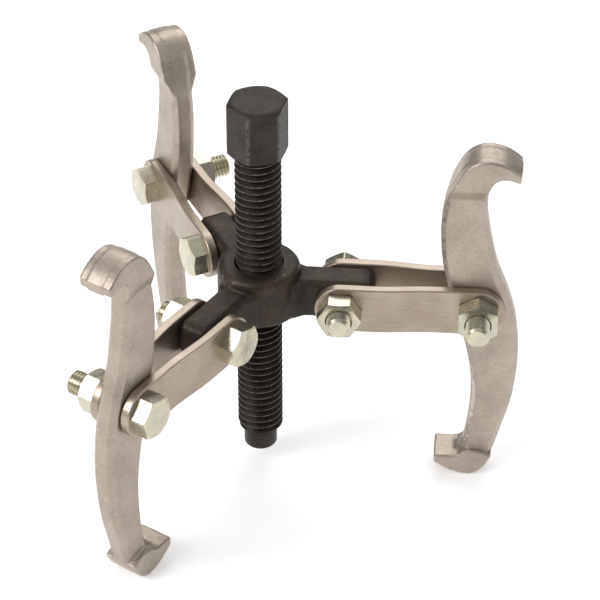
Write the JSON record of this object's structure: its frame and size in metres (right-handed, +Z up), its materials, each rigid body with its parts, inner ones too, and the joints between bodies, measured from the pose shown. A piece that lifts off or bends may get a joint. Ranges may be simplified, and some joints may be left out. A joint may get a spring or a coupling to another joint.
{
  "type": "gear puller",
  "caption": "Three-jaw gear puller: a black forcing screw through a three-armed yoke, with paired links to reversible double-ended jaws.",
  "frame": {"origin": "on the screw axis, at the lower end of the pressing point's plain nose", "axes": "+Z up along the screw towards its hexagon head, +X towards jaw A, jaws B and C at 120 and 240 degrees about +Z"},
  "size_m": [0.0891, 0.0962, 0.0903],
  "materials": {
    "forged_black": "black oxide on a forging, satin",
    "black_screw": "black oxide, oiled, satin",
    "link_plate": "satin plated sheet",
    "jaw_steel": "tumbled and plated forging, satin",
    "zinc_plated": "bright zinc"
  },
  "bodies": {
    "yoke": {"yoke": "forged_black"},
    "point": {"screw_point": "black_screw", "point_ring": "black_screw"},
    "screw": {"forcing_screw": "black_screw"},
    "links_a": {"link_a_head": "link_plate", "link_a_nut": "link_plate", "inner_bolt_a": "zinc_plated", "inner_nut_a": "zinc_plated", "outer_bolt_a": "zinc_plated", "outer_nut_a": "zinc_plated"},
    "jaw_a": {"jaw_a": "jaw_steel"},
    "links_b": {"link_b_head": "link_plate", "link_b_nut": "link_plate", "inner_bolt_b": "zinc_plated", "inner_nut_b": "zinc_plated", "outer_bolt_b": "zinc_plated", "outer_nut_b": "zinc_plated"},
    "jaw_b": {"jaw_b": "jaw_steel"},
    "links_c": {"link_c_head": "link_plate", "link_c_nut": "link_plate", "inner_bolt_c": "zinc_plated", "inner_nut_c": "zinc_plated", "outer_bolt_c": "zinc_plated", "outer_nut_c": "zinc_plated"},
    "jaw_c": {"jaw_c": "jaw_steel"}
  },
  "joints": [
    {"name": "screw_feed", "type": "slide", "parent": "yoke", "child": "point", "axis": [0, 0, 1], "range_m": [-0.027, 0.0239]},
    {"name": "screw_turn", "type": "hinge", "parent": "point", "child": "screw", "pos_m": [0, 0, 0.0398], "axis": [0, 0, 1], "range_deg": [-5400, 4680]},
    {"name": "link_swing_a", "type": "hinge", "parent": "yoke", "child": "links_a", "pos_m": [0.0171, 0, 0.0398], "axis": [0, -1, 0], "range_deg": [-40, 40]},
    {"name": "jaw_swing_a", "type": "hinge", "parent": "links_a", "child": "jaw_a", "pos_m": [0.0455, 0, 0.0398], "axis": [0, 1, 0], "range_deg": [-45, 45]},
    {"name": "link_swing_b", "type": "hinge", "parent": "yoke", "child": "links_b", "pos_m": [-0.00855, 0.01481, 0.0398], "axis": [0.866, 0.5, 0], "range_deg": [-40, 40]},
    {"name": "jaw_swing_b", "type": "hinge", "parent": "links_b", "child": "jaw_b", "pos_m": [-0.02275, 0.0394, 0.0398], "axis": [-0.866, -0.5, 0], "range_deg": [-45, 45]},
    {"name": "link_swing_c", "type": "hinge", "parent": "yoke", "child": "links_c", "pos_m": [-0.00855, -0.01481, 0.0398], "axis": [-0.866, 0.5, 0], "range_deg": [-40, 40]},
    {"name": "jaw_swing_c", "type": "hinge", "parent": "links_c", "child": "jaw_c", "pos_m": [-0.02275, -0.0394, 0.0398], "axis": [0.866, -0.5, 0], "range_deg": [-45, 45]}
  ],
  "couplings": [
    {"joint": "screw_feed", "follows": "screw_turn", "m_per_rad": 0.00025266}
  ]
}
